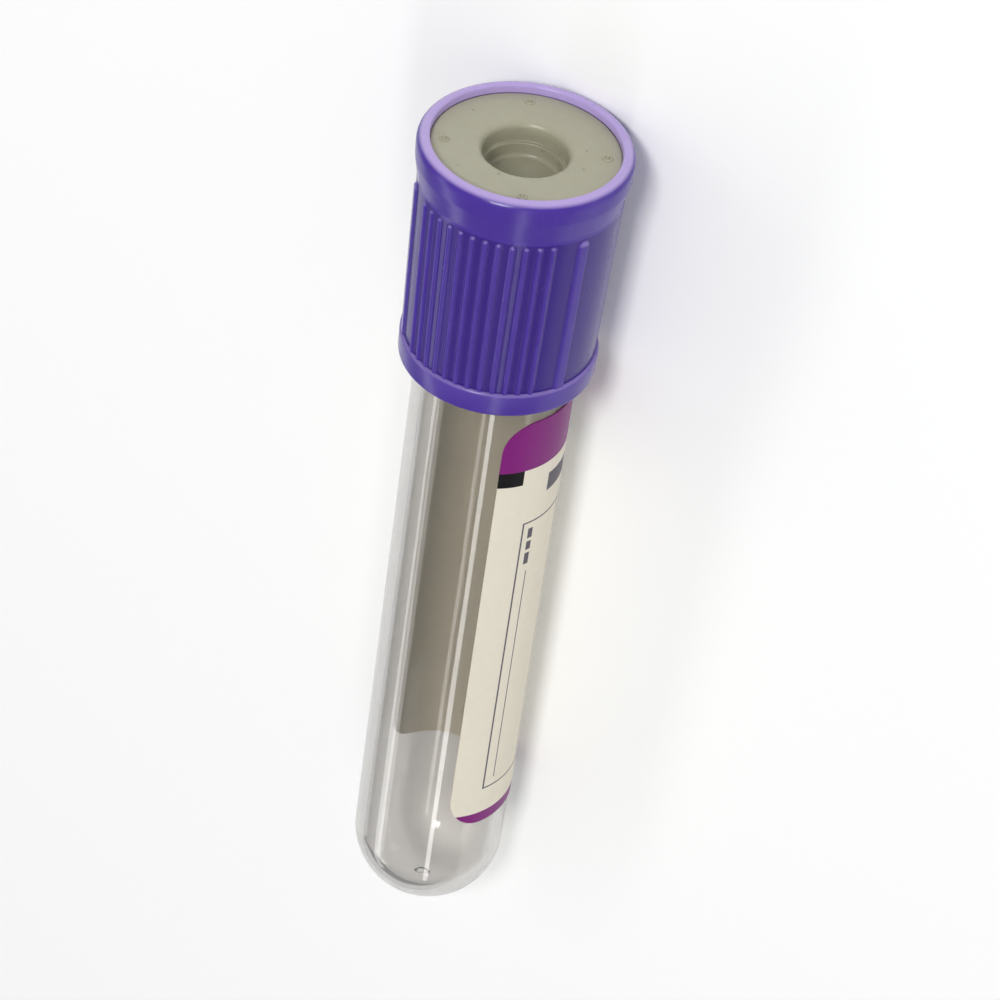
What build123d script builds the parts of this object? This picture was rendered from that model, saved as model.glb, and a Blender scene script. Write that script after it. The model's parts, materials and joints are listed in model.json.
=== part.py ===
"""A 13 x 75 mm blood collection tube, stoppered and capped, lying on its side.

The tube rests on its round bottom and on the cap's outer wall, with the cap towards -Y.
Heights run along the tube's axis from the pole of the round bottom, and radii from that axis.
Angles run round the axis from +X, and 90 degrees is the top of the tube as it lies.
"""

import os
from math import asin, atan2, cos, degrees, hypot, radians, sin, tan

from build123d import *

os.makedirs("parts", exist_ok=True)

# ---- driving dimensions, in millimetres and degrees ----

# tube: clear polyester, injection moulded in one piece
tube_length = 75.0
tube_diameter = 13.0
tube_wall = 1.05
mouth_rounding = 0.35
gate_ring_inner = 0.5
gate_ring_outer = 0.85
gate_ring_depth = 0.15
tube_seam = 1.385

# cap: ribbed polypropylene shield round the stopper and the tube's mouth
cap_height = 21.0
cap_rise = 5.5
skirt_clearance = 0.45
collar_wall = 1.0
collar_height = 2.2
collar_step = 0.3
collar_rounding = 0.08
cap_flare = 0.6
lip_width = 1.05
lip_rounding = 0.75
lip_inner_rounding = 0.2
lip_depth = 0.7
top_band_height = 3.7
ledge_height = 1.0
ledge_clearance = 0.35
skirt_wall_at_ledge = 1.15
cap_edge_rounding = 0.35
cap_seam = -1.957

# ribs on the cap: two groups of narrow ribs, each between two wide ones
rib_height = 0.2
rib_root = 0.3
rib_end_gap = 0.4
rib_width = 0.6
wide_rib_width = 1.15
rib_pitch = 7.5
ribs_in_group = 12
wide_rib_gap = 18.75
rib_group_angle = 101.75

# stopper: grey rubber, its head held in the cap and its plug in the tube's mouth
stopper_fit = 0.05
stopper_recess = 0.1
stopper_edge_rounding = 0.3
seat_gap = 0.02
plug_length = 8.0
plug_clearance = 0.03
plug_relief = 0.15
plug_lead = 0.7
bead_width = 1.4
bead_rounding = 0.12
well_radius = 3.4
well_depth = 2.9
well_mouth_rounding = 0.6
well_step_depth = 1.7
well_step_width = 0.3
well_floor_rounding = 0.35
needle_recess_radius = 3.0
needle_recess_depth = 4.5
needle_recess_rounding = 0.8

# label: paper, glued round the tube and leaving a clear window. Its side is the heavier and lies lower
label_thickness = 0.1
label_glue = 0.02
label_below_cap = 2.0
label_length = 45.0
label_wrap = 220.0
label_start = 134.0
label_corner = 3.0

# ---- sizes worked out from them ----

tube_radius = tube_diameter / 2
bore_radius = tube_radius - tube_wall

cap_top = tube_length + cap_rise
cap_bottom = cap_top - cap_height
collar_radius = tube_radius + skirt_clearance + collar_wall
lip_radius = collar_radius + cap_flare
flare_angle = atan2(cap_flare, cap_height)
collar_top = cap_bottom + collar_height
band_bottom = cap_top - top_band_height
rib_top = band_bottom - rib_end_gap

lip_opening = lip_radius - lip_width
stopper_top = cap_top - lip_depth
head_radius = lip_opening + stopper_recess
socket_radius = head_radius + stopper_fit
ledge_radius = tube_radius + ledge_clearance
ledge_bottom = tube_length - ledge_height

plug_radius = bore_radius - plug_clearance
plug_neck = plug_radius - plug_relief
seat = tube_length + seat_gap
plug_end = seat - plug_length
well_floor = stopper_top - well_depth
well_step = stopper_top - well_step_depth

label_inner = tube_radius + label_glue
label_outer = label_inner + label_thickness
label_top = cap_bottom - label_below_cap
label_bottom = label_top - label_length


def crest_radius(height):
    """The cap's outer radius at a height: its lip and its collar lie on one cone."""
    return collar_radius + (height - cap_bottom) * tan(flare_angle)


def valley_radius(height):
    """The cap's radius between the ribs, which stand on a second cone inside the first."""
    return crest_radius(height) - collar_step


# ---- how the tube lies ----


def rest_tilt(radius, height, rounding):
    """The tilt at which the round bottom and a rounded edge, centred at (radius, height), both touch the floor."""
    along = height - tube_radius
    return atan2(radius, along) + asin((rounding - tube_radius) / hypot(along, radius))


def edge_centre(radius, rounding, side):
    """The radius of the centre of an edge's rounding, where the cone meets a flat end on that side of it."""
    return radius - rounding * (side * tan(flare_angle) + 1 / cos(flare_angle))


lip_centre = edge_centre(lip_radius, lip_rounding, 1)
collar_centre = edge_centre(collar_radius, cap_edge_rounding, -1)
tilt = max(
    rest_tilt(lip_centre, cap_top - lip_rounding, lip_rounding),
    rest_tilt(collar_centre, cap_bottom + cap_edge_rounding, cap_edge_rounding),
)

along_tube = Vector(0, -cos(tilt), sin(tilt))
upwards = Vector(0, sin(tilt), cos(tilt))
cap_reach = cos(tilt) * (cap_top - lip_rounding) + sin(tilt) * lip_centre + lip_rounding
bottom_reach = tube_radius - cos(tilt) * tube_radius
pole = Vector(0, (cap_reach - bottom_reach) / 2, tube_radius * (1 - sin(tilt)))
tube_axis = Axis(pole, along_tube)


def meridian(angle):
    """The plane through the tube's axis at an angle, with x along the radius and y along the axis."""
    outwards = Vector(1, 0, 0) * cos(radians(angle)) + upwards * sin(radians(angle))
    return Plane(pole, x_dir=outwards, z_dir=outwards.cross(along_tube))


def places(section):
    """The corners of a section, without their roundings."""
    return [(radius, height) for radius, height, rounding in section]


def roundings(section):
    """The rounding of each corner of a section."""
    return [rounding for radius, height, rounding in section]


# ---- tube ----

# the cap's seam is where no two of its collision pieces meet on the floor, so the tube rests without rolling
with BuildPart() as tube:
    with BuildSketch(meridian(tube_seam)):
        with BuildLine():
            Line((0, 0), (0, tube_wall))
            CenterArc((0, tube_radius), bore_radius, 270, 90)
            Polyline(
                (bore_radius, tube_radius),
                (bore_radius, tube_length),
                (tube_radius, tube_length),
                (tube_radius, tube_radius),
            )
            CenterArc((0, tube_radius), tube_radius, 270, 90)
        make_face()
        fillet(vertices().group_by(Axis.Y)[-1], radius=mouth_rounding)
    revolve(axis=tube_axis)
    # the moulding gate leaves a shallow ring at the pole
    with BuildSketch(meridian(0)):
        with BuildLine():
            Polyline(
                (gate_ring_inner, -gate_ring_depth),
                (gate_ring_outer, -gate_ring_depth),
                (gate_ring_outer, gate_ring_depth),
                (gate_ring_inner, gate_ring_depth),
                close=True,
            )
        make_face()
    revolve(axis=tube_axis, mode=Mode.SUBTRACT)

tube.part.label = "tube"
export_step(tube.part, "parts/tube.step")

# ---- cap ----

cap_section = [
    (lip_opening, cap_top, lip_inner_rounding),
    (lip_radius, cap_top, lip_rounding),
    (crest_radius(band_bottom + top_band_height / 2), band_bottom + top_band_height / 2, 0),
    (valley_radius(band_bottom), band_bottom, 0),
    (valley_radius(collar_top), collar_top, 0),
    (crest_radius(collar_top), collar_top, collar_rounding),
    (collar_radius, cap_bottom, cap_edge_rounding),
    (collar_radius - collar_wall, cap_bottom, cap_edge_rounding / 2),
    (crest_radius(ledge_bottom) - skirt_wall_at_ledge, ledge_bottom, 0),
    (ledge_radius, ledge_bottom, 0),
    (ledge_radius, tube_length, 0),
    (socket_radius, tube_length, 0),
    (socket_radius, stopper_top, 0),
    (lip_opening, stopper_top, 0),
]

with BuildPart() as cap:
    with BuildSketch(meridian(cap_seam)):
        with BuildLine():
            FilletPolyline(*places(cap_section), radius=roundings(cap_section), close=True)
        make_face()
    revolve(axis=tube_axis)

    group_span = rib_pitch * (ribs_in_group - 1)
    rib_angles = []
    wide_rib_angles = []
    for group_middle in (rib_group_angle, rib_group_angle + 180):
        first = group_middle - group_span / 2
        rib_angles += [first + rib_pitch * number for number in range(ribs_in_group)]
        wide_rib_angles += [first - wide_rib_gap, first + group_span + wide_rib_gap]

    rib_bottom = collar_top - collar_height / 4
    rib_section = [
        (valley_radius(rib_bottom) - rib_root, rib_bottom, 0),
        (valley_radius(rib_bottom) + rib_height, rib_bottom, 0),
        (valley_radius(rib_top) + rib_height, rib_top, rib_height),
        (valley_radius(rib_top) - rib_root, rib_top, 0),
    ]
    for angles, width in ((rib_angles, rib_width), (wide_rib_angles, wide_rib_width)):
        with BuildSketch(*[meridian(angle) for angle in angles]):
            with BuildLine():
                FilletPolyline(*places(rib_section), radius=roundings(rib_section), close=True)
            make_face()
        extrude(amount=width / 2, both=True)

cap.part.label = "cap"
export_step(cap.part, "parts/cap.step")

# ---- stopper ----

first_bead = seat - plug_length / 3
second_bead = seat - plug_length * 2 / 3

stopper_section = [
    (0, well_floor, 0),
    (well_radius - well_step_width, well_floor, well_floor_rounding),
    (well_radius - well_step_width, well_step, 0.1),
    (well_radius, well_step, 0),
    (well_radius, stopper_top, well_mouth_rounding),
    (head_radius, stopper_top, stopper_edge_rounding),
    (head_radius, seat, stopper_edge_rounding),
    (plug_neck, seat, 0),
    (plug_neck, first_bead + bead_width / 2, 0),
    (plug_radius, first_bead + bead_width / 2, bead_rounding),
    (plug_radius, first_bead - bead_width / 2, bead_rounding),
    (plug_neck, first_bead - bead_width / 2, 0),
    (plug_neck, second_bead + bead_width / 2, 0),
    (plug_radius, second_bead + bead_width / 2, bead_rounding),
    (plug_radius, second_bead - bead_width / 2, bead_rounding),
    (plug_neck, second_bead - bead_width / 2, 0),
    (plug_neck, plug_end, plug_lead),
    (needle_recess_radius, plug_end, 0.3),
    (needle_recess_radius, plug_end + needle_recess_depth, needle_recess_rounding),
    (0, plug_end + needle_recess_depth, 0),
]

with BuildPart() as stopper:
    with BuildSketch(meridian(0)):
        with BuildLine():
            FilletPolyline(*places(stopper_section), radius=roundings(stopper_section), close=True)
        make_face()
    revolve(axis=tube_axis)

stopper.part.label = "stopper"
export_step(stopper.part, "parts/stopper.step")

# ---- label ----

corner_turn = degrees(label_corner / label_outer)
corner_reach = label_outer * sin(radians(corner_turn))


def corner_plane(angle, height, side, end):
    """The plane tangent to the label at a corner's centre, with x to the label's side and y to its end."""
    outwards = meridian(angle).x_dir
    across = along_tube.cross(outwards) * side
    centre = pole + along_tube * height + outwards * label_outer
    return Plane(centre, x_dir=across, z_dir=across.cross(along_tube * end))


label_corners = []
for side, angle in ((-1, label_start + corner_turn), (1, label_start + label_wrap - corner_turn)):
    label_corners.append(corner_plane(angle, label_top - label_corner, side, 1))
    label_corners.append(corner_plane(angle, label_bottom + label_corner, side, -1))

with BuildPart() as label:
    with BuildSketch(meridian(label_start)):
        with BuildLine():
            Polyline(
                (label_inner, label_bottom),
                (label_outer, label_bottom),
                (label_outer, label_top),
                (label_inner, label_top),
                close=True,
            )
        make_face()
    revolve(axis=tube_axis, revolution_arc=label_wrap)
    # the rounded corners are cut straight through, seen square on to the paper at each corner
    with BuildSketch(*label_corners):
        Rectangle(2 * label_corner, 2 * label_corner, align=(Align.MIN, Align.MIN))
        Ellipse(corner_reach, label_corner, mode=Mode.SUBTRACT)
    extrude(amount=corner_reach, both=True, mode=Mode.SUBTRACT)

label.part.label = "label"
export_step(label.part, "parts/label.step")

# ---- facts for the record, in metres where they are places ----

closure_axis = tuple(round(value, 6) for value in along_tube)
well_wall = (stopper_top - well_mouth_rounding + well_step) / 2
print("tilt in degrees", round(degrees(tilt), 3))
print("tube axis", closure_axis)
print("pole in mm", [round(value, 4) for value in pole])
print("middle of the well's wall in mm", [round(value, 4) for value in pole + along_tube * well_wall])
print("length of the well's wall in mm", round(well_step_depth - well_mouth_rounding, 3))
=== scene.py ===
"""A blood collection tube with its cap, stopper and label, lying on a pale floor.

Heights run along the tube's axis from the pole of its round bottom, radii from that axis, and
angles round it from +X, with the top of the lying tube at 90 degrees. All sizes are in metres.
"""

import json
import math
import random

import bmesh
import bpy
from bpy.props import FloatProperty, FloatVectorProperty, IntProperty, PointerProperty
from bpy.types import Operator, Panel, PropertyGroup
from mathutils import Matrix, Vector


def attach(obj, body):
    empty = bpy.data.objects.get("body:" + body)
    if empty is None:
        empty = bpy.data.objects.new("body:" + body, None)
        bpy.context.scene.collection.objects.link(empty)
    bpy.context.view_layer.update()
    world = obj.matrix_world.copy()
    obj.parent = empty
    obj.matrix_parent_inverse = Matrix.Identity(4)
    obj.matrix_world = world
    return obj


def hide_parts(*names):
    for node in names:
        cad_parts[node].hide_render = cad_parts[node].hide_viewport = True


bl_info = {
    "name": "Blood Collection Tube",
    "version": (1, 0, 0),
    "blender": (4, 5, 0),
    "location": "3D View > Sidebar > Blood Tube",
    "description": "Makes a capped and labelled blood collection tube and its stage",
    "category": "Add Mesh",
}

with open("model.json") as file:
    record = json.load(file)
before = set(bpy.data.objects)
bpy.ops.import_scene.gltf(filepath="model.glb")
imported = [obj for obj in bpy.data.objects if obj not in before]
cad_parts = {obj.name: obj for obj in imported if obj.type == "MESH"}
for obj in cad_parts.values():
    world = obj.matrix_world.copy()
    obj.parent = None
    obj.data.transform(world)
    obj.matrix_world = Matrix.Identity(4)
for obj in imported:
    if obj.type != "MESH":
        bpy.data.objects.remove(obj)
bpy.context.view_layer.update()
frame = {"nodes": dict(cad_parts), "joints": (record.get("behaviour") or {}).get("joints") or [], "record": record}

MM = 0.001

# ---- places on the tube ----

well = next(mount for mount in frame["record"]["mounts"] if mount["name"] == "needle_well")
along = Vector(frame["joints"][0]["axis"]).normalized()
across = Vector((1, 0, 0))
upwards = along.cross(across)


def measured(node, start):
    """The height, radius and angle of each corner of a CAD node, seen from a point on the tube's axis."""
    found = []
    for vertex in frame["nodes"][node].data.vertices:
        away = vertex.co - start
        beside, above = away.dot(across), away.dot(upwards)
        found.append((away.dot(along), math.hypot(beside, above), math.atan2(above, beside) % math.tau))
    return found


# the well's mount lies on the axis, and the lowest corner of the tube is at its pole
pole = Vector(well["pos_m"])
pole += along * min(measured("tube", pole))[0]
tube_corners, cap_corners, stopper_corners, label_corners = (
    measured(node, pole) for node in ("tube", "cap", "stopper", "label")
)
tube_top = max(tube_corners)[0]
tube_radius = max(radius for height, radius, angle in tube_corners)
cap_bottom, cap_top = min(cap_corners)[0], max(cap_corners)[0]
stopper_bottom, stopper_top = min(stopper_corners)[0], max(stopper_corners)[0]
label_bottom, label_top = min(label_corners)[0], max(label_corners)[0]
label_radius = max(radius for height, radius, angle in label_corners)

# the label starts where the clear window, the widest gap between its corners, ends
label_turns = sorted(angle for height, radius, angle in label_corners)
label_gaps = [(after - before, after) for before, after in zip(label_turns, label_turns[1:])]
label_gaps.append((label_turns[0] + math.tau - label_turns[-1], label_turns[0]))
window_turn, label_start = max(label_gaps)
label_turn = math.tau - window_turn


def place(radius, angle, height):
    """A point at a radius, angle and height."""
    return pole + along * height + (across * math.cos(angle) + upwards * math.sin(angle)) * radius


# ---- shared ways of making ----

SHARP = math.radians(38)  # faces that meet at a larger angle than this keep a sharp edge
ON_AXIS = 1e-7  # a point nearer to the axis than this is a pole


def linear(hex_colour):
    """A linear colour from an sRGB hex value."""
    parts = [int(hex_colour[start : start + 2], 16) / 255 for start in (1, 3, 5)]
    return tuple(part / 12.92 if part <= 0.04045 else ((part + 0.055) / 1.055) ** 2.4 for part in parts)


def add(tree, kind, inputs=None, **settings):
    """Adds a node with its settings, its inputs' values and links; a node given links its first output."""
    node = tree.nodes.new(kind)
    for name, value in settings.items():
        setattr(node, name, value)
    for name, value in (inputs or {}).items():
        if isinstance(value, bpy.types.Node):
            value = value.outputs[0]
        if isinstance(value, bpy.types.NodeSocket):
            tree.links.new(value, node.inputs[name])
        else:
            node.inputs[name].default_value = value
    return node


def rounded(corners, closed=False, steps=8):
    """The points of a section whose corners are given as radius, height and rounding."""
    points = []
    for number, (radius, height, rounding) in enumerate(corners):
        corner = Vector((radius, height))
        if not rounding or (not closed and number in (0, len(corners) - 1)):
            points.append(corner)
            continue
        before = (Vector(corners[number - 1][:2]) - corner).normalized()
        after = (Vector(corners[(number + 1) % len(corners)][:2]) - corner).normalized()
        half = before.angle(after) / 2
        centre = corner + (before + after).normalized() * rounding / math.sin(half)
        first = corner + before * rounding / math.tan(half) - centre
        last = corner + after * rounding / math.tan(half) - centre
        turn = first.angle(last)
        for step in range(steps + 1):
            share = turn * step / steps
            points.append(centre + (first * math.sin(turn - share) + last * math.sin(share)) / math.sin(turn))
    return points


def turned(name, section, segments, start=0.0, closed=False):
    """An object turned round the tube's axis from a section, with its poles closed."""
    corners, rings, faces = [], [], []
    for radius, height in section:
        count = segments if radius > ON_AXIS else 1
        rings.append(range(len(corners), len(corners) + count))
        corners += [place(radius, start + math.tau * step / segments, height) for step in range(count)]
    for lower, upper in zip(rings, rings[1:] + (rings[:1] if closed else [])):
        for step in range(segments):
            after = (step + 1) % segments
            face = [lower[step % len(lower)], lower[after % len(lower)]]
            face += [upper[after % len(upper)], upper[step % len(upper)]]
            # at a pole two corners are one, and the face is a triangle
            faces.append(list(dict.fromkeys(face)))
    mesh = bpy.data.meshes.new(name)
    mesh.from_pydata(corners, [], faces)
    return outwards(mesh, name)


def outwards(mesh, name):
    """Turns a closed mesh's faces outwards, shades it smooth between its sharp edges and shows it."""
    work = bmesh.new()
    work.from_mesh(mesh)
    bmesh.ops.recalc_face_normals(work, faces=work.faces[:])
    work.to_mesh(mesh)
    work.free()
    mesh.shade_smooth()
    mesh.set_sharp_from_angle(angle=SHARP)
    piece = bpy.data.objects.new(name, mesh)
    bpy.context.scene.collection.objects.link(piece)
    return piece


def started_tree(name, given, made):
    """A new geometry node tree, which makes one mesh, and the sockets of what it is given."""
    tree = bpy.data.node_groups.new(name, "GeometryNodeTree")
    for label, kind in given.items():
        tree.interface.new_socket(name=label, in_out="INPUT", socket_type="NodeSocket" + kind)
    tree.interface.new_socket(name=made, in_out="OUTPUT", socket_type="NodeSocketGeometry")
    return tree, add(tree, "NodeGroupInput").outputs


def applied(context, piece, tree, values):
    """The plain mesh that a piece's mesh becomes through a node tree with these inputs."""
    modifier = piece.modifiers.new(tree.name, "NODES")
    modifier.node_group = tree
    for socket in tree.interface.items_tree:
        if socket.in_out == "INPUT" and socket.name in values:
            modifier[socket.identifier] = values[socket.name]
    seen = piece.evaluated_get(context.evaluated_depsgraph_get())
    mesh = bpy.data.meshes.new_from_object(seen)
    piece.modifiers.remove(modifier)
    return mesh


def fit(piece, body, node):
    """Puts a finished piece on its body, in place of its CAD node, which it hides."""
    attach(piece, body)
    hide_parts(node)


# ---- materials ----


def started(name):
    """A new node material, with its tree and its shader."""
    material = bpy.data.materials.new(name)
    material.use_nodes = True
    tree = material.node_tree
    return material, tree, tree.nodes["Principled BSDF"]


def tube_places(tree, stretch=1.0):
    """Object coordinates turned to the tube: Z is the height, and a pattern on them is stretched along it."""
    coordinates = add(tree, "ShaderNodeTexCoord")
    turn = Matrix((across, upwards, along)).transposed().to_euler()
    mapping = add(
        tree,
        "ShaderNodeMapping",
        {
            "Vector": coordinates.outputs["Object"],
            "Location": pole,
            "Rotation": turn,
            "Scale": (1, 1, stretch),
        },
        vector_type="TEXTURE",
    )
    return mapping.outputs["Vector"]


def height_and_radius(tree, places):
    """Sockets that say how high along the tube and how far from its axis a point lies."""
    apart = add(tree, "ShaderNodeSeparateXYZ", {0: places}).outputs
    flat = add(tree, "ShaderNodeCombineXYZ", {0: apart["X"], 1: apart["Y"]})
    radius = add(tree, "ShaderNodeVectorMath", {0: flat}, operation="LENGTH")
    return apart["Z"], radius.outputs["Value"]


def mottled(tree, places, size, detail, dark, light):
    """Soft patches of this size, and the colour that they give between a dark and a light one."""
    patches = add(tree, "ShaderNodeTexNoise", {"Vector": places, "Scale": 1 / size, "Detail": detail})
    blend = add(tree, "ShaderNodeMix", {0: patches, 6: (*dark, 1), 7: (*light, 1)}, data_type="RGBA")
    return patches.outputs["Fac"], blend.outputs[2]


def grained(tree, shader, places, size, detail, depth):
    """Gives a surface a fine grain of this size and depth."""
    grain = add(tree, "ShaderNodeTexNoise", {"Vector": places, "Scale": 1 / size, "Detail": detail})
    bump = add(tree, "ShaderNodeBump", {"Height": grain, "Distance": depth})
    tree.links.new(bump.outputs["Normal"], shader.inputs["Normal"])


def clear_polyester(look):
    """Injection-moulded polyester: clear, glossy and faintly grey, drawn into waves along its length."""
    material, tree, shader = started("moulded clear polyester")
    # the waves are nine times as long as they are wide
    waves = add(
        tree,
        "ShaderNodeTexNoise",
        {
            "Vector": tube_places(tree, stretch=9.0),
            "Scale": 1 / look.wave_spacing,
            "Detail": 2.0,
            "Roughness": 0.45,
        },
    )
    bump = add(tree, "ShaderNodeBump", {"Height": waves, "Distance": look.wave_depth})
    tree.links.new(bump.outputs["Normal"], shader.inputs["Normal"])
    shader.inputs["Base Color"].default_value = (*look.colour, 1)
    shader.inputs["Roughness"].default_value = 0.03
    shader.inputs["IOR"].default_value = 1.575
    shader.inputs["Transmission Weight"].default_value = 1.0
    # clear plastic lets the lamps through to what it holds and to the floor
    path = add(tree, "ShaderNodeLightPath")
    lets_through = add(tree, "ShaderNodeBsdfTransparent", {"Color": (*look.shadow_colour, 1)})
    passes = path.outputs["Is Shadow Ray"]
    surface = add(tree, "ShaderNodeMixShader", {0: passes, 1: shader, 2: lets_through})
    # the wall is darker where it is seen edge on, through more plastic
    depth = add(
        tree,
        "ShaderNodeVolumeAbsorption",
        {"Color": (*look.depth_colour, 1), "Density": look.depth_density},
    )
    output = tree.nodes["Material Output"]
    tree.links.new(surface.outputs["Shader"], output.inputs["Surface"])
    tree.links.new(depth.outputs["Volume"], output.inputs["Volume"])
    return material


def moulded_polypropylene(look):
    """Injection-moulded polypropylene: violet and softly glossy, with painted light: a pale lip, pale rib ends and
    collar edge, and painted shade between the ribs.
    """
    material, tree, shader = started("moulded polypropylene")
    places = tube_places(tree)
    height, radius = height_and_radius(tree, places)
    # painted glow: the lip's top is painted pale, standing in for the light that its thin plastic lets through and
    # catches
    lip_top = add(
        tree,
        "ShaderNodeMapRange",
        {"Value": height, "From Min": cap_top - 0.35 * MM, "From Max": cap_top - 0.05 * MM},
        interpolation_type="SMOOTHSTEP",
    )
    # painted glow: the lip's inner wall, over the stopper, is painted as pale as its top, in place of the light
    # and shade that fall there
    opening = look.lip_radius - look.lip_width
    inner = add(
        tree,
        "ShaderNodeMapRange",
        {"Value": radius, "From Min": opening + 0.5 * MM, "From Max": opening + 0.15 * MM},
        interpolation_type="SMOOTHSTEP",
    )
    over = add(
        tree,
        "ShaderNodeMapRange",
        {"Value": height, "From Min": stopper_top - 0.3 * MM, "From Max": stopper_top},
        interpolation_type="SMOOTHSTEP",
    )
    lip_wall = add(tree, "ShaderNodeMath", {0: inner, 1: over}, operation="MULTIPLY")
    lip = add(tree, "ShaderNodeMath", {0: lip_top, 1: lip_wall}, operation="MAXIMUM")
    # painted highlight: the ribs' round ends and the collar's upper edge are painted part of the way to the lip's
    # pale colour, in place of the glints that they catch
    edge = add(tree, "ShaderNodeAttribute", attribute_name="edge")
    thin = add(tree, "ShaderNodeMath", {0: edge.outputs["Fac"], 1: look.painted_edge_highlight}, operation="MULTIPLY")
    pale = add(tree, "ShaderNodeMath", {0: lip, 1: thin}, operation="MAXIMUM")
    # the plastic's flow left patches 2.2 mm wide, a little lighter and less glossy
    flow, moulded = mottled(tree, places, 2.2 * MM, 3.0, look.dark_colour, look.colour)
    # painted shade: the wall between the ribs is painted darker, and a rib has the full colour from just over half
    # its height
    rib = add(tree, "ShaderNodeAttribute", attribute_name="crest")
    crest = add(tree, "ShaderNodeMapRange", {"Value": rib.outputs["Fac"], "From Max": 0.55})
    body = add(tree, "ShaderNodeMix", {0: crest, 6: (*look.painted_valley_shade, 1), 7: moulded}, data_type="RGBA")
    colour = add(
        tree, "ShaderNodeMix", {0: pale, 6: body.outputs[2], 7: (*look.painted_lip_glow, 1)}, data_type="RGBA"
    )
    gloss = add(tree, "ShaderNodeMapRange", {"Value": flow, "To Min": 0.2, "To Max": 0.3})
    tree.links.new(colour.outputs[2], shader.inputs["Base Color"])
    tree.links.new(gloss.outputs["Result"], shader.inputs["Roughness"])
    grained(tree, shader, places, 0.28 * MM, 2.0, 0.006 * MM)
    shader.inputs["IOR"].default_value = 1.49
    shader.inputs["Specular IOR Level"].default_value = 0.38
    shader.inputs["Subsurface Weight"].default_value = 0.12
    shader.inputs["Subsurface Radius"].default_value = (0.6, 0.5, 1.0)
    shader.inputs["Subsurface Scale"].default_value = 0.6 * MM
    return material


def stopper_rubber(look):
    """Compression-moulded butyl rubber: matt warm grey, mottled, with a fine grain and a few dark specks."""
    material, tree, shader = started("moulded butyl rubber")
    places = tube_places(tree)
    body = mottled(tree, places, 1.3 * MM, 4.0, look.dark_colour, look.colour)[1]
    # painted shade: the rubber is painted darker down in the well
    height, radius = height_and_radius(tree, places)
    sunk = add(
        tree,
        "ShaderNodeMapRange",
        {"Value": height, "From Min": stopper_top - 0.3 * MM, "From Max": stopper_top - 1.3 * MM},
        interpolation_type="SMOOTHSTEP",
    )
    inside = add(tree, "ShaderNodeMath", {0: radius, 1: look.well_radius + 0.3 * MM}, operation="LESS_THAN")
    deep = add(tree, "ShaderNodeMath", {0: inside, 1: sunk}, operation="MULTIPLY")
    shaded = add(tree, "ShaderNodeMix", {0: deep, 6: body, 7: (*look.painted_well_shade, 1)}, data_type="RGBA")
    # a speck of filler, up to 0.3 mm across, about every 1.5 mm
    cells = add(tree, "ShaderNodeTexVoronoi", {"Vector": places, "Scale": 1 / (1.5 * MM)})
    specks = add(
        tree,
        "ShaderNodeMapRange",
        {"Value": cells.outputs["Distance"], "From Min": 0.1, "From Max": 0.05, "To Max": 0.55},
        interpolation_type="SMOOTHSTEP",
    )
    colour = add(
        tree, "ShaderNodeMix", {0: specks, 6: shaded.outputs[2], 7: (*look.speck_colour, 1)}, data_type="RGBA"
    )
    tree.links.new(colour.outputs[2], shader.inputs["Base Color"])
    grained(tree, shader, places, 0.22 * MM, 3.0, 0.03 * MM)
    shader.inputs["Roughness"].default_value = 0.34
    shader.inputs["IOR"].default_value = 1.5
    return material


def printed_paper(name, colour, roughness, shine):
    """Coated label paper, bare or printed: smooth with a faint tooth, its ink lying a little unevenly."""
    material, tree, shader = started(name)
    places = tube_places(tree)
    darker = tuple(part * 0.93 for part in colour)
    ink = mottled(tree, places, 0.9 * MM, 4.0, darker, colour)[1]
    tree.links.new(ink, shader.inputs["Base Color"])
    grained(tree, shader, places, 0.16 * MM, 2.0, 0.008 * MM)
    shader.inputs["Roughness"].default_value = roughness
    shader.inputs["IOR"].default_value = 1.48
    shader.inputs["Specular IOR Level"].default_value = shine
    return material


# ---- sizes and colours that a user may change ----


def length_setting(name, description, size):
    """A length, in metres."""
    return FloatProperty(name=name, description=description, default=size, unit="LENGTH", precision=5)


def angle_setting(name, description, degrees):
    """An angle, whose default is given in degrees."""
    return FloatProperty(name=name, description=description, default=math.radians(degrees), subtype="ANGLE")


def colour_setting(name, description, hex_colour):
    """A colour, whose default is given as an sRGB hex value."""
    default = linear(hex_colour)
    return FloatVectorProperty(name=name, description=description, default=default, subtype="COLOR")


class TubeLook(PropertyGroup):
    wall: length_setting("Wall", "Thickness of the tube's wall", 1.05 * MM)
    mouth_rounding: length_setting("Mouth Rounding", "Rounding of the mouth's edges", 0.35 * MM)
    gate_radius: length_setting("Gate Radius", "Radius of the gate's ring at the pole", 0.68 * MM)
    gate_width: length_setting("Gate Width", "Width of the gate's ring", 0.36 * MM)
    gate_depth: length_setting("Gate Depth", "Depth of the gate's ring", 0.15 * MM)
    wave_spacing: length_setting("Wave Spacing", "Width of the plastic's faint waves", 2.6 * MM)
    wave_depth: length_setting("Wave Depth", "Depth of the plastic's faint waves", 0.015 * MM)
    colour: colour_setting("Plastic", "Tint of the clear plastic", "#ECEAE8")
    depth_colour: colour_setting("Depth", "Colour of the plastic in depth", "#9C9A92")
    depth_density: FloatProperty(
        name="Depth Density",
        description="How fast the plastic gets darker in depth, per metre",
        default=140.0,
    )
    shadow_colour: colour_setting("Shadow", "Light that passes one face of a wall", "#ECECEB")


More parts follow.
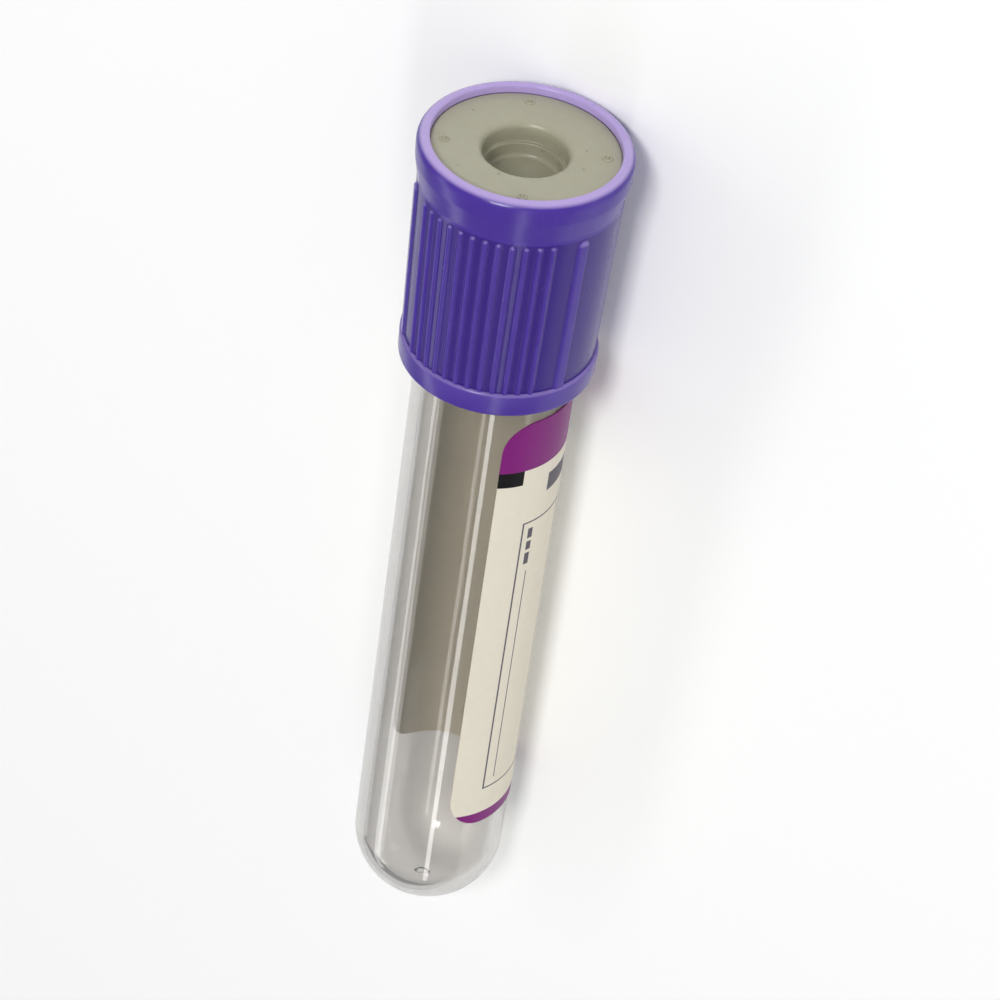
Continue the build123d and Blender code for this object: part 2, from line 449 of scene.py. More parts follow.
class CapLook(PropertyGroup):
    lip_radius: length_setting(
        "Lip Radius", "Radius at which the cap's cone meets its top, before the lip is rounded", 8.55 * MM
    )
    flare: length_setting("Flare", "How much the lip stands out past the collar", 0.6 * MM)
    lip_width: length_setting("Lip Width", "Width of the lip's top", 1.05 * MM)
    lip_rounding: length_setting("Lip Rounding", "Rounding of the lip's outer edge", 0.75 * MM)
    band_height: length_setting("Band Height", "Height of the plain band over the ribs", 3.7 * MM)
    collar_height: length_setting("Collar Height", "Height of the collar under the ribs", 2.2 * MM)
    collar_step: length_setting("Collar Step", "How far the collar stands out of the wall", 0.3 * MM)
    ledge_rounding: length_setting("Ledge Rounding", "Rounding of the collar's upper edge", 0.26 * MM)
    rib_height: length_setting("Rib Height", "How far a rib stands out of the wall", 0.2 * MM)
    rib_width: length_setting("Rib Width", "Width of a narrow rib", 0.6 * MM)
    wide_rib_width: length_setting("Wide Rib Width", "Width of a wide rib", 1.15 * MM)
    rib_softness: length_setting("Rib Softness", "Width of a rib's slope", 0.24 * MM)
    rib_end_gap: length_setting("Rib End Gap", "Plain wall over a rib's end", 0.4 * MM)
    rib_pitch: angle_setting("Rib Pitch", "Turn from rib to rib", 7.5)
    wide_rib_gap: angle_setting("Wide Rib Gap", "Turn from the last narrow rib to the wide one", 18.75)
    ribs_in_group: IntProperty(
        name="Ribs in Group", description="Narrow ribs in each of the two groups", default=12, min=1
    )
    group_angle: angle_setting("Group Angle", "Angle of the middle of a group of ribs", 101.75)
    # painted highlight: how far the ribs' ends and the collar's edge are painted towards the lip's pale colour
    painted_edge_highlight: FloatProperty(
        name="Painted Edge Highlight",
        description="How near the ribs' ends and the collar's edge come to the lip's colour",
        default=0.4,
        subtype="FACTOR",
        min=0.0,
        max=1.0,
    )
    colour: colour_setting("Plastic", "Colour of the cap", "#4F36A0")
    dark_colour: colour_setting("Dark Plastic", "The darker patches", "#442A90")
    # painted shade: the darker colour painted on the wall between the ribs
    painted_valley_shade: colour_setting("Valleys", "Colour between the ribs", "#381F80")
    # painted glow and highlight: the pale colour painted on the lip, its inner wall, the ribs' ends and the
    # collar's edge
    painted_lip_glow: colour_setting("Lip", "Colour of the thin lip", "#B8A4DC")


class StopperLook(PropertyGroup):
    head_radius: length_setting("Head Radius", "Radius of the head in the cap", 7.6 * MM)
    neck_radius: length_setting("Neck Radius", "Radius of the plug", 5.27 * MM)
    bead_radius: length_setting("Bead Radius", "Radius of the plug's beads", 5.42 * MM)
    edge_rounding: length_setting("Edge Rounding", "Rounding of the head's edges", 0.3 * MM)
    plug_length: length_setting("Plug Length", "Length of the plug in the tube's mouth", 8 * MM)
    bead_width: length_setting("Bead Width", "Width of the plug's sealing beads", 1.4 * MM)
    well_radius: length_setting("Well Radius", "Radius of the needle well", 3.4 * MM)
    well_depth: length_setting("Well Depth", "Depth of the needle well", 2.9 * MM)
    marks: IntProperty(name="Marks", description="Moulding marks round the head's face", default=4, min=1)
    mark_place: length_setting("Mark Place", "Radius at which the moulding marks stand", 6.35 * MM)
    mark_radius: length_setting("Mark Radius", "Radius of a moulding mark's ring", 0.33 * MM)
    mark_bead: length_setting("Mark Bead", "Radius of the bead of rubber round a mark", 0.1 * MM)
    colour: colour_setting("Rubber", "Colour of the rubber", "#AFAC96")
    dark_colour: colour_setting("Dark Rubber", "Darker mottling", "#A3A08A")
    # painted shade: the darker colour painted on the rubber down in the well
    painted_well_shade: colour_setting("Well", "Colour of the rubber in the well", "#9A9783")
    speck_colour: colour_setting("Specks", "Colour of the specks", "#6E6B58")


class LabelLook(PropertyGroup):
    corner: length_setting("Corner", "Rounding of the label's corners", 3 * MM)
    thickness: length_setting("Thickness", "Thickness of the paper", 0.1 * MM)
    header: length_setting("Header", "Height of the coloured band at the top", 5 * MM)
    foot: length_setting("Foot", "Height of the coloured band at the bottom", 1.2 * MM)
    mark_width: length_setting("Mark Width", "Width of the fill mark", 2.2 * MM)
    mark_height: length_setting("Mark Height", "Height of the fill mark", 1.5 * MM)
    line: length_setting("Line", "Width of the ruled lines", 0.16 * MM)
    paper_colour: colour_setting("Paper", "Colour of the bare paper", "#EDE6D4")
    header_colour: colour_setting("Header Ink", "Colour of the header band", "#821A79")
    mark_colour: colour_setting("Mark Ink", "Colour of the fill mark", "#0D0B0F")
    line_colour: colour_setting("Line Ink", "Colour of the lines and bars", "#5C5762")


class StageLook(PropertyGroup):
    distance: length_setting("Distance", "From the cap's top to the camera", 0.317)
    rise: angle_setting("Rise", "Camera's height over the tube's side", 35)
    turn: angle_setting("Turn", "Angle round the tube at which it is seen", 120)
    aim_height: length_setting("Aim Height", "Height up the tube of the view's middle", 44.5 * MM)
    aim_aside: length_setting("Aim Aside", "From the tube's axis to the view's middle", 2 * MM)
    lean: angle_setting("Lean", "How far the tube leans in the picture", 8.5)
    lens: FloatProperty(name="Lens", description="Focal length in millimetres", default=148.0)
    floor_colour: colour_setting("Floor", "Colour of the floor", "#FBFBFA")
    floor_lift: FloatProperty(
        name="Floor Lift",
        description="How much whiter the floor is seen than it lights",
        default=0.05,
        min=0.0,
    )
    room_colour: FloatVectorProperty(
        name="Room", description="Colour of the room's light", default=(0.97, 0.98, 1.0), subtype="COLOR"
    )
    room_light: FloatProperty(
        name="Room Light", description="Strength of the room's light", default=0.36, min=0.0
    )


# ---- tube ----


class BLOODTUBE_OT_tube(Operator):
    """Make the clear round-bottomed tube"""

    bl_idname = "bloodtube.tube"
    bl_label = "Make Tube"

    def execute(self, context):
        look = context.scene.bloodtube_tube
        bore = tube_radius - look.wall
        arc_steps, groove_steps, rows = 32, 8, 24
        outside, inside = [], []
        for step in range(arc_steps + 1):
            angle = math.pi / 2 * step / arc_steps
            outside.append(Vector((tube_radius * math.sin(angle), tube_radius * (1 - math.cos(angle)))))
            inside.append(Vector((bore * math.sin(angle), tube_radius - bore * math.cos(angle))))
        # the gate's ring is a shallow groove round the pole
        for step in range(groove_steps + 1):
            share = step / groove_steps
            radius = look.gate_radius + (share - 0.5) * look.gate_width
            height = tube_radius - math.sqrt(tube_radius**2 - radius**2)
            groove = look.gate_depth * math.sin(math.pi * share) ** 2
            outside.append(Vector((radius, height + groove)))
        outside.sort(key=lambda point: point.x)
        straight = [tube_radius + (tube_top - tube_radius) * step / rows for step in range(1, rows)]
        mouth = rounded(
            [
                (tube_radius, straight[-1], 0),
                (tube_radius, tube_top, look.mouth_rounding),
                (bore, tube_top, look.mouth_rounding),
                (bore, straight[-1], 0),
            ]
        )
        section = outside + [Vector((tube_radius, height)) for height in straight[:-1]] + mouth
        section += [Vector((bore, height)) for height in reversed(straight[:-1])] + inside[::-1]
        piece = turned("clear_tube", section, 192)
        piece.data.materials.append(clear_polyester(look))
        fit(piece, "tube_body", "tube")
        return {"FINISHED"}


# ---- cap ----


def rib_tree():
    """Geometry nodes that raise two groups of ribs out of the cap's wall, each between two wide ribs."""
    lengths = ("Height", "Width", "Wide Width", "Softness", "Top", "Collar Top")
    turns = ("Pitch", "Ribs in Group", "Wide Gap", "Group Angle")
    sockets = {"Cap": "Geometry"}
    sockets.update(dict.fromkeys(("Pole", "Across", "Upwards", "Along"), "Vector"))
    sockets.update(dict.fromkeys(lengths + turns, "Float"))
    sockets["Material"] = "Material"
    tree, given = started_tree("cap ribs", sockets, "Cap")

    # height, beside and above say where a point of the wall lies
    position = add(tree, "GeometryNodeInputPosition")
    away = add(tree, "ShaderNodeVectorMath", {0: position, 1: given["Pole"]}, operation="SUBTRACT")
    height, beside, above = (
        add(tree, "ShaderNodeVectorMath", {0: away, 1: given[axis]}, operation="DOT_PRODUCT").outputs["Value"]
        for axis in ("Along", "Across", "Upwards")
    )
    on_axis = add(tree, "ShaderNodeVectorMath", {0: given["Along"], "Scale": height}, operation="SCALE")
    radial = add(tree, "ShaderNodeVectorMath", {0: away, 1: on_axis}, operation="SUBTRACT")
    radius = add(tree, "ShaderNodeVectorMath", {0: radial}, operation="LENGTH").outputs["Value"]
    outward = add(tree, "ShaderNodeVectorMath", {0: radial}, operation="NORMALIZE")

    # the turn from the middle of the nearer group
    angle = add(tree, "ShaderNodeMath", {0: above, 1: beside}, operation="ARCTAN2")
    from_group = add(tree, "ShaderNodeMath", {0: angle, 1: given["Group Angle"]}, operation="SUBTRACT")
    turn = add(tree, "ShaderNodeMath", {0: from_group, 1: math.pi / 2, 2: -math.pi / 2}, operation="WRAP")

    # the nearest narrow rib, counted from the group's first
    gaps = add(tree, "ShaderNodeMath", {0: given["Ribs in Group"], 1: 1.0}, operation="SUBTRACT")
    half = add(tree, "ShaderNodeMath", {0: gaps, 1: 2.0}, operation="DIVIDE")
    pitches = add(tree, "ShaderNodeMath", {0: turn, 1: given["Pitch"]}, operation="DIVIDE")
    count = add(tree, "ShaderNodeMath", {0: pitches, 1: half}, operation="ADD")
    whole = add(tree, "ShaderNodeMath", {0: count}, operation="ROUND")
    nearest = add(tree, "ShaderNodeClamp", {0: whole, 1: 0.0, 2: gaps})
    missed = add(tree, "ShaderNodeMath", {0: count, 1: nearest}, operation="SUBTRACT")
    narrow_turn = add(tree, "ShaderNodeMath", {0: missed, 1: given["Pitch"]}, operation="MULTIPLY")

    # the wide rib at that side of the group
    group_half = add(tree, "ShaderNodeMath", {0: half, 1: given["Pitch"]}, operation="MULTIPLY")
    wide_place = add(tree, "ShaderNodeMath", {0: group_half, 1: given["Wide Gap"]}, operation="ADD")
    side_turn = add(tree, "ShaderNodeMath", {0: turn}, operation="ABSOLUTE")
    wide_turn = add(tree, "ShaderNodeMath", {0: side_turn, 1: wide_place}, operation="SUBTRACT")

    # each rib's rise falls off from its middle line, whose upper end is round
    rises, ends = [], []
    for rib_turn, width in ((narrow_turn, given["Width"]), (wide_turn, given["Wide Width"])):
        half_width = add(tree, "ShaderNodeMath", {0: width, 1: 2.0}, operation="DIVIDE")
        end = add(tree, "ShaderNodeMath", {0: given["Top"], 1: half_width}, operation="SUBTRACT")
        past = add(tree, "ShaderNodeMath", {0: height, 1: end}, operation="SUBTRACT")
        past_end = add(tree, "ShaderNodeMath", {0: past, 1: 0.0}, operation="MAXIMUM")
        sideways = add(tree, "ShaderNodeMath", {0: rib_turn, 1: radius}, operation="MULTIPLY")
        both = add(tree, "ShaderNodeCombineXYZ", {0: sideways, 1: past_end})
        distance = add(tree, "ShaderNodeVectorMath", {0: both}, operation="LENGTH").outputs["Value"]
        inner = add(tree, "ShaderNodeMath", {0: half_width, 1: given["Softness"]}, operation="SUBTRACT")
        rise = add(
            tree,
            "ShaderNodeMapRange",
            {"Value": distance, "From Min": half_width, "From Max": inner},
            interpolation_type="SMOOTHSTEP",
        )
        rises.append(rise)
        # from 0 where the end starts to be round, to 1 at its tip
        tip = add(tree, "ShaderNodeMath", {0: past_end, 1: half_width}, operation="DIVIDE")
        ends.append(add(tree, "ShaderNodeMath", {0: tip, 1: rise}, operation="MULTIPLY"))
    rise = add(tree, "ShaderNodeMath", {0: rises[0], 1: rises[1]}, operation="MAXIMUM")
    rib_end = add(tree, "ShaderNodeMath", {0: ends[0], 1: ends[1]}, operation="MAXIMUM")

    wall = add(tree, "GeometryNodeInputNamedAttribute", {"Name": "wall"}, data_type="FLOAT")
    on_wall = add(tree, "ShaderNodeMath", {0: rise, 1: wall}, operation="MULTIPLY")
    # the crest attribute is 1 on the ribs and off the wall, and 0 between the ribs, where shade is painted into
    # the plastic's colour
    under = add(tree, "ShaderNodeMath", {0: wall, 1: on_wall}, operation="SUBTRACT")
    crest = add(tree, "ShaderNodeMath", {0: 1.0, 1: under}, operation="SUBTRACT")
    # the edge attribute, where a highlight is painted, rises to 1 at the ribs' tips, before the rise falls off,
    # and on the collar's edge
    end_reach = 2.2
    reached = add(tree, "ShaderNodeMath", {0: rib_end, 1: end_reach}, operation="MULTIPLY")
    rib_edge = add(tree, "ShaderNodeMath", {0: reached, 1: wall}, operation="MULTIPLY")
    over_ledge = add(tree, "ShaderNodeMath", {0: height, 1: given["Collar Top"]}, operation="SUBTRACT")
    off_ledge = add(tree, "ShaderNodeMath", {0: over_ledge}, operation="ABSOLUTE")
    near_ledge = add(
        tree, "ShaderNodeMapRange", {"Value": off_ledge, "From Min": 0.3 * MM, "From Max": 0.05 * MM}
    )
    off_wall = add(tree, "ShaderNodeMath", {0: 1.0, 1: wall}, operation="SUBTRACT")
    ledge = add(tree, "ShaderNodeMath", {0: near_ledge, 1: off_wall}, operation="MULTIPLY")
    edge = add(tree, "ShaderNodeMath", {0: rib_edge, 1: ledge}, operation="MAXIMUM", use_clamp=True)
    lift = add(tree, "ShaderNodeMath", {0: on_wall, 1: given["Height"]}, operation="MULTIPLY")
    offset = add(tree, "ShaderNodeVectorMath", {0: outward, "Scale": lift}, operation="SCALE")
    cap = add(tree, "GeometryNodeSetPosition", {"Geometry": given["Cap"], "Offset": offset})
    for name, value in (("crest", crest), ("edge", edge)):
        cap = add(
            tree,
            "GeometryNodeStoreNamedAttribute",
            {"Geometry": cap, "Name": name, "Value": value},
            data_type="FLOAT",
        )
    whole_cap = add(tree, "GeometryNodeRealizeInstances", {"Geometry": cap})
    finished = add(tree, "GeometryNodeSetMaterial", {"Geometry": whole_cap, "Material": given["Material"]})
    add(tree, "NodeGroupOutput", {"Cap": finished})
    return tree


class BLOODTUBE_OT_cap(Operator):
    """Make the ribbed cap"""

    bl_idname = "bloodtube.cap"
    bl_label = "Make Cap"

    def execute(self, context):
        look = context.scene.bloodtube_cap
        collar_radius = look.lip_radius - look.flare
        slope = look.flare / (cap_top - cap_bottom)

        def crest(height):
            return collar_radius + (height - cap_bottom) * slope

        def valley(height):
            return crest(height) - look.collar_step

        collar_top = cap_bottom + look.collar_height
        band_bottom = cap_top - look.band_height
        band_middle = band_bottom + look.band_height / 2
        rib_top = band_bottom - look.rib_end_gap
        opening = look.lip_radius - look.lip_width
        # inside, a socket for the stopper, a ledge on the tube's mouth, a short guide and the skirt
        socket = opening + 0.15 * MM
        guide = tube_radius + 0.35 * MM
        guide_bottom = tube_top - 1.0 * MM
        skirt_top = crest(tube_top) - 1.15 * MM
        skirt_bottom = collar_radius - 1.0 * MM
        # rows of the wall, from the collar to the band, lie close together where the ribs end
        wall_rows = [collar_top + part * MM for part in (0.0, 0.12, 0.4, 1.2, 3.5, 6.5, 9.5, 12.5)]
        ends = rib_top - 0.75 * MM
        wall_rows += [ends + 0.07 * MM * step for step in range(12)]
        wall = [(valley(height), height) for height in wall_rows]
        above = rounded(
            [
                (valley(wall_rows[-1]), wall_rows[-1], 0),
                (valley(band_bottom), band_bottom, 0.5 * MM),
                (crest(band_middle), band_middle, 2.0 * MM),
                (look.lip_radius, cap_top, look.lip_rounding),
                (opening, cap_top, 0.2 * MM),
                (opening, stopper_top, 0),
                (socket, stopper_top, 0),
                (socket, tube_top, 0),
                (guide, tube_top, 0),
                (guide, guide_bottom, 0),
                (skirt_top, guide_bottom, 0.3 * MM),
                (skirt_bottom, cap_bottom, 0.17 * MM),
                (collar_radius, cap_bottom, 0.35 * MM),
                (crest(collar_top), collar_top, look.ledge_rounding),
                (valley(collar_top), collar_top, 0),
            ]
        )
        section = [Vector(point) for point in wall] + above[1:-1]
        segments = 720
        piece = turned("ribbed_cap", section, segments, look.group_angle, closed=True)
        mask = piece.data.attributes.new("wall", "FLOAT", "POINT")
        mask.data.foreach_set("value", [1.0] * (segments * len(wall)) + [0.0] * (segments * (len(above) - 2)))

        values = {
            "Pole": pole,
            "Across": across,
            "Upwards": upwards,
            "Along": along,
            "Height": look.rib_height,
            "Width": look.rib_width,
            "Wide Width": look.wide_rib_width,
            "Softness": look.rib_softness,
            "Top": rib_top,
            "Collar Top": collar_top,
            "Pitch": look.rib_pitch,
            "Ribs in Group": float(look.ribs_in_group),
            "Wide Gap": look.wide_rib_gap,
            "Group Angle": look.group_angle,
            "Material": moulded_polypropylene(look),
        }
        plain = piece.data
        piece.data = applied(context, piece, rib_tree(), values)
        bpy.data.meshes.remove(plain)
        fit(piece, "closure", "cap")
        return {"FINISHED"}


# ---- stopper ----


def mark_tree():
    """Geometry nodes that set moulding marks round a circle: each a bead of rubber round a torn-off stub."""
    sockets = {"Count": "Int", "Place": "Float", "Radius": "Float", "Bead": "Float", "Material": "Material"}
    tree, given = started_tree("moulding marks", sockets, "Marks")
    circle = add(tree, "GeometryNodeCurvePrimitiveCircle", {"Resolution": 28, "Radius": given["Radius"]})
    section = add(tree, "GeometryNodeCurvePrimitiveCircle", {"Resolution": 10, "Radius": given["Bead"]})
    bead = add(tree, "GeometryNodeCurveToMesh", {"Curve": circle, "Profile Curve": section})
    stub_radius = add(tree, "ShaderNodeMath", {0: given["Bead"], 1: 1.2}, operation="MULTIPLY")
    stub = add(tree, "GeometryNodeMeshUVSphere", {"Segments": 14, "Rings": 8, "Radius": stub_radius})
    mark = add(tree, "GeometryNodeJoinGeometry")
    for part in (bead, stub):
        tree.links.new(part.outputs[0], mark.inputs[0])
    places = add(tree, "GeometryNodeMeshCircle", {"Vertices": given["Count"], "Radius": given["Place"]})
    marks = add(tree, "GeometryNodeInstanceOnPoints", {"Points": places, "Instance": mark})
    real = add(tree, "GeometryNodeRealizeInstances", {"Geometry": marks})
    finished = add(tree, "GeometryNodeSetMaterial", {"Geometry": real, "Material": given["Material"]})
    add(tree, "NodeGroupOutput", {"Marks": finished})
    return tree


class BLOODTUBE_OT_stopper(Operator):
    """Make the rubber stopper"""

    bl_idname = "bloodtube.stopper"
    bl_label = "Make Stopper"

    def execute(self, context):
        look = context.scene.bloodtube_stopper
        head, neck, bead = look.head_radius, look.neck_radius, look.bead_radius
        seat = stopper_bottom + look.plug_length
        # the well narrows at a step, and its floor dips by a hair in the middle
        floor = stopper_top - look.well_depth
        step = stopper_top - 1.7 * MM
        inner = look.well_radius - 0.3 * MM
        corners = [
            (0, floor + 0.06 * MM, 0),
            (inner * 0.45, floor, 1.2 * MM),
            (inner, floor, 0.35 * MM),
            (inner, step, 0.1 * MM),
            (look.well_radius, step, 0.08 * MM),
            (look.well_radius, stopper_top, 0.6 * MM),
            (look.mark_place, stopper_top, 0),
            (head, stopper_top, look.edge_rounding),
            (head, seat, look.edge_rounding),
            (neck, seat, 0),
        ]
        for middle in (seat - look.plug_length / 3, seat - look.plug_length * 2 / 3):
            upper, lower = middle + look.bead_width / 2, middle - look.bead_width / 2
            corners += [(neck, upper, 0), (bead, upper, 0.12 * MM)]
            corners += [(bead, lower, 0.12 * MM), (neck, lower, 0)]
        # the plug's end is hollow
        hollow_radius, hollow_top = 3.0 * MM, stopper_bottom + 4.5 * MM
        corners += [
            (neck, stopper_bottom, 0.7 * MM),
            (hollow_radius, stopper_bottom, 0.3 * MM),
            (hollow_radius, hollow_top, 0.8 * MM),
            (0, hollow_top, 0),
        ]
        plain = turned("plain stopper", rounded(corners), 144)
        rubber = stopper_rubber(look)
        marks = self.marks(context, look, rubber)
        whole = bmesh.new()
        whole.from_mesh(plain.data)
        whole.from_mesh(marks)
        mesh = bpy.data.meshes.new("rubber_stopper")
        whole.to_mesh(mesh)
        whole.free()
        mesh.materials.append(rubber)
        bpy.data.objects.remove(plain)
        piece = outwards(mesh, "rubber_stopper")
        fit(piece, "closure", "stopper")
        return {"FINISHED"}

    def marks(self, context, look, rubber):
        """The moulding marks as a plain mesh on the head's face."""
        values = {
            "Count": look.marks,
            "Place": look.mark_place,
            "Radius": look.mark_radius,
            "Bead": look.mark_bead,
            "Material": rubber,
        }
        maker = bpy.data.objects.new("marks", bpy.data.meshes.new("marks"))
        context.scene.collection.objects.link(maker)
        mesh = applied(context, maker, mark_tree(), values)
        bpy.data.objects.remove(maker)
        # the marks stand proud of the face by a hair, turned from the tube's side by the stopper's own turn
        proud, stopper_turn = 0.015 * MM, math.radians(32)
        turn = Matrix((across, upwards, along)).transposed().to_4x4() @ Matrix.Rotation(stopper_turn, 4, "Z")
        mesh.transform(Matrix.Translation(place(0, 0, stopper_top + proud)) @ turn)
        return mesh


# ---- label ----

# the material slots of the label's mesh
PAPER, HEADER_INK, MARK_INK, LINE_INK = range(4)


def label_print(look, width, length):
    """The printed fields: left, right, upper and lower edge, down from the label's top, and the ink."""
    fields = [
        (0, width, 0, look.header, HEADER_INK),
        (0, look.mark_width, look.header, look.header + look.mark_height, MARK_INK),
    ]
    # two blocks where a title would stand, and a coloured panel
    for left, right, top, bottom, ink in (
        (5.0, 8.8, 6.4, 8.3, LINE_INK),
        (9.4, 13.6, 6.4, 8.3, LINE_INK),
        (15.2, 22.4, 6.1, 9.4, HEADER_INK),
    ):
        fields.append((left * MM, right * MM, top * MM, bottom * MM, ink))
    # a ruled frame with four columns for writing
    left, right, top, bottom = 2.8 * MM, 22.8 * MM, 10.8 * MM, 41 * MM
    fields.append((left, right, top, bottom, LINE_INK))
    columns = 4
    inside = (right - left - look.line * (columns + 1)) / columns
    words = random.Random(4)
    for column in range(columns):
        start = left + look.line + (inside + look.line) * column
        fields.append((start, start + inside, top + look.line, bottom - look.line, PAPER))
        # a few words along the tube, as short bars, and a line to write on
        down = top + 0.8 * MM
        while down < top + 4.2 * MM:
            word = words.uniform(0.8, 1.9) * MM
            fields.append((start + 0.5 * MM, start + 1.0 * MM, down, down + word, LINE_INK))
            down += word + 0.35 * MM
        fields.append((start + 0.9 * MM, start + 1.0 * MM, down + 0.5 * MM, bottom - 1 * MM, LINE_INK))
    fields.append((0, width, length - look.foot, length, HEADER_INK))
    return fields


class BLOODTUBE_OT_label(Operator):
    """Make the paper label"""

    bl_idname = "bloodtube.label"
    bl_label = "Make Label"

    def execute(self, context):
        look = context.scene.bloodtube_label
        width, length = label_turn * label_radius, label_top - label_bottom
        fields = label_print(look, width, length)
        sheet = bmesh.new()
        ends = ((0, 0), (width, 0), (width, length), (0, length))
        outline = rounded([(u, v, look.corner) for u, v in ends], closed=True, steps=12)
        sheet.faces.new([sheet.verts.new((u, v, 0)) for u, v in outline])
        # the sheet is cut at the print's edges, and every 2.5 degrees so that it can bend
        bend_count = 88
        bends = [width * step / bend_count for step in range(1, bend_count)]
        cuts = [((u, 0, 0), (1, 0, 0)) for u in set(bends + [edge for field in fields for edge in field[:2]])]
        cuts += [((0, v, 0), (0, 1, 0)) for v in set(edge for field in fields for edge in field[2:4])]
        for middle, direction in sorted(cuts):
            everything = sheet.verts[:] + sheet.edges[:] + sheet.faces[:]
            bmesh.ops.bisect_plane(sheet, geom=everything, dist=1e-7, plane_co=middle, plane_no=direction)
        # a later field is printed over an earlier one
        for face in sheet.faces:
            u, v, w = face.calc_center_median()
            for left, right, top, bottom, ink in fields:
                if left < u < right and top < v < bottom:
                    face.material_index = ink
        back = bmesh.ops.extrude_face_region(sheet, geom=sheet.faces[:])["geom"]
        for part in back:
            if isinstance(part, bmesh.types.BMVert):
                part.co.z = -look.thickness
            if isinstance(part, bmesh.types.BMFace):
                part.material_index = PAPER
        for corner in sheet.verts:
            u, v, w = corner.co
            corner.co = place(label_radius + w, label_start + u / label_radius, label_top - v)
        mesh = bpy.data.meshes.new("paper_label")
        sheet.to_mesh(mesh)
        sheet.free()
        piece = outwards(mesh, "paper_label")
        # in the order of the mesh's slots, with each one's roughness and shine
        for name, colour, roughness, shine in (
            ("coated label paper", look.paper_colour, 0.6, 0.3),
            ("purple header ink", look.header_colour, 0.4, 0.25),
            ("black mark ink", look.mark_colour, 0.45, 0.2),
            ("grey line ink", look.line_colour, 0.5, 0.3),
        ):
            mesh.materials.append(printed_paper(name, colour, roughness, shine))
        fit(piece, "tube_body", "label")
        return {"FINISHED"}


# ---- stage ----


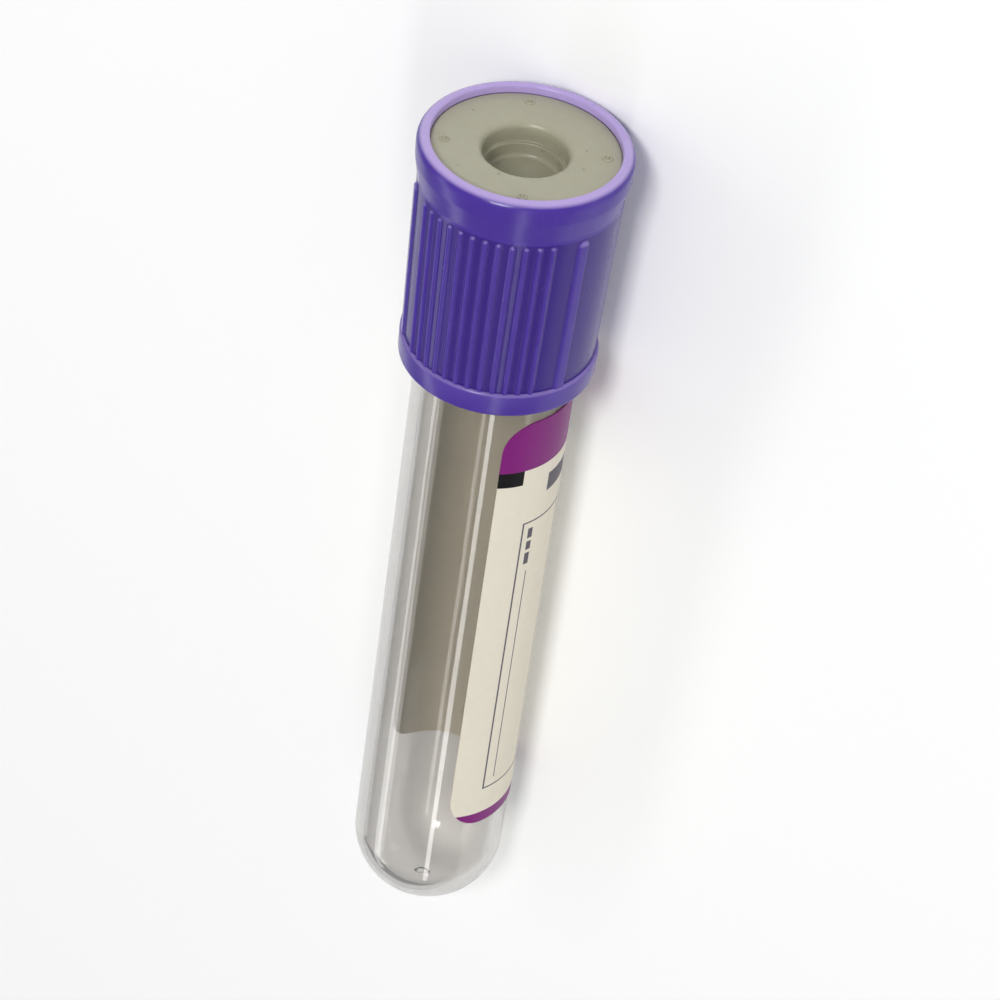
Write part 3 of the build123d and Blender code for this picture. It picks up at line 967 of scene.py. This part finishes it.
class BLOODTUBE_OT_stage(Operator):
    """Make the floor, the lights and the camera"""

    bl_idname = "bloodtube.stage"
    bl_label = "Make Stage"

    def execute(self, context):
        look = context.scene.bloodtube_stage
        scene = context.scene
        scene.view_settings.view_transform = "Standard"
        self.floor(scene, look)
        self.lights(scene, look)
        self.camera(scene, look)
        return {"FINISHED"}

    def floor(self, scene, look):
        """A plain pale floor, four metres wide."""
        mesh = bpy.data.meshes.new("floor")
        mesh.from_pydata([(-2, -2, 0), (2, -2, 0), (2, 2, 0), (-2, 2, 0)], [], [(0, 1, 2, 3)])
        floor = bpy.data.objects.new("floor", mesh)
        scene.collection.objects.link(floor)
        material, tree, shader = started("pale floor")
        shader.inputs["Base Color"].default_value = (*look.floor_colour, 1)
        shader.inputs["Roughness"].default_value = 0.9
        shader.inputs["Specular IOR Level"].default_value = 0.1
        # what the camera sees of the floor is lifted a little, and what lights the tube isn't
        path = add(tree, "ShaderNodeLightPath")
        lift = add(
            tree,
            "ShaderNodeMapRange",
            {"Value": path.outputs["Is Diffuse Ray"], "To Min": look.floor_lift, "To Max": 0.0},
        )
        shader.inputs["Emission Color"].default_value = (1, 1, 1, 1)
        tree.links.new(lift.outputs["Result"], shader.inputs["Emission Strength"])
        mesh.materials.append(material)

    def lights(self, scene, look):
        """A softly lit room and three soft boxes: one over the cap's end, and a long one at each side."""
        world = bpy.data.worlds.new("soft room")
        world.use_nodes = True
        room = world.node_tree.nodes["Background"]
        room.inputs["Color"].default_value = (*look.room_colour, 1)
        room.inputs["Strength"].default_value = look.room_light
        scene.world = world

        # each box's place from the tube's middle, its width and length, and its power in watts
        middle = place(0, 0, tube_top / 2)
        boxes = [
            ("key", along * 0.52 + upwards * 0.72 + across * -0.15, 0.2, 0.2, 4.2),
            ("left strip", upwards * 0.61 + across * -0.46 + along * -0.25, 0.08, 1.4, 1.3),
            ("right strip", upwards * 0.5 + across * 0.6 + along * -0.25, 0.14, 1.4, 1.4),
        ]
        for name, away, wide, tall, watts in boxes:
            light = bpy.data.lights.new(name, "AREA")
            light.shape = "RECTANGLE"
            light.size, light.size_y, light.energy = wide, tall, watts
            lamp = bpy.data.objects.new(name, light)
            back = away.normalized()
            side = along.cross(back).normalized()
            lamp.matrix_world = Matrix((side, back.cross(side), back)).transposed().to_4x4()
            lamp.location = middle + away
            scene.collection.objects.link(lamp)

    def camera(self, scene, look):
        """The camera looks down on the tube from over the cap's end, and is aimed beside the tube's axis."""
        around = across * math.cos(look.turn) + upwards * math.sin(look.turn)
        towards = along * math.sin(look.rise) + around * math.cos(look.rise)
        eye = place(0, 0, cap_top) + towards * look.distance
        target = place(look.aim_aside, look.turn + math.pi / 2, look.aim_height)
        back = (eye - target).normalized()
        upright = (along - back * along.dot(back)).normalized()
        right = upright.cross(back)
        top = upright * math.cos(look.lean) - right * math.sin(look.lean)
        side = right * math.cos(look.lean) + upright * math.sin(look.lean)
        camera = bpy.data.objects.new("camera", bpy.data.cameras.new("camera"))
        camera.matrix_world = Matrix((side, top, back)).transposed().to_4x4()
        camera.location = eye
        camera.data.lens = look.lens
        camera.data.clip_start = 0.01
        scene.collection.objects.link(camera)
        scene.camera = camera


class BLOODTUBE_PT_panel(Panel):
    """The tube's pieces and what can be changed about them"""

    bl_idname = "BLOODTUBE_PT_panel"
    bl_label = "Blood Collection Tube"
    bl_space_type = "VIEW_3D"
    bl_region_type = "UI"
    bl_category = "Blood Tube"

    def draw(self, context):
        for name, (look, operator) in PIECES.items():
            box = self.layout.box()
            box.operator(operator.bl_idname)
            settings = getattr(context.scene, name)
            for setting in look.__annotations__:
                box.prop(settings, setting)


PIECES = {
    "bloodtube_tube": (TubeLook, BLOODTUBE_OT_tube),
    "bloodtube_cap": (CapLook, BLOODTUBE_OT_cap),
    "bloodtube_stopper": (StopperLook, BLOODTUBE_OT_stopper),
    "bloodtube_label": (LabelLook, BLOODTUBE_OT_label),
    "bloodtube_stage": (StageLook, BLOODTUBE_OT_stage),
}


def register():
    for name, (look, operator) in PIECES.items():
        bpy.utils.register_class(look)
        bpy.utils.register_class(operator)
        setattr(bpy.types.Scene, name, PointerProperty(type=look))
    bpy.utils.register_class(BLOODTUBE_PT_panel)


def unregister():
    bpy.utils.unregister_class(BLOODTUBE_PT_panel)
    for name, (look, operator) in reversed(PIECES.items()):
        delattr(bpy.types.Scene, name)
        bpy.utils.unregister_class(operator)
        bpy.utils.unregister_class(look)


def main():
    """Registers the settings, and makes every piece and the stage."""
    register()
    bpy.ops.bloodtube.tube()
    bpy.ops.bloodtube.cap()
    bpy.ops.bloodtube.stopper()
    bpy.ops.bloodtube.label()
    bpy.ops.bloodtube.stage()


if __name__ == "__main__":
    main()
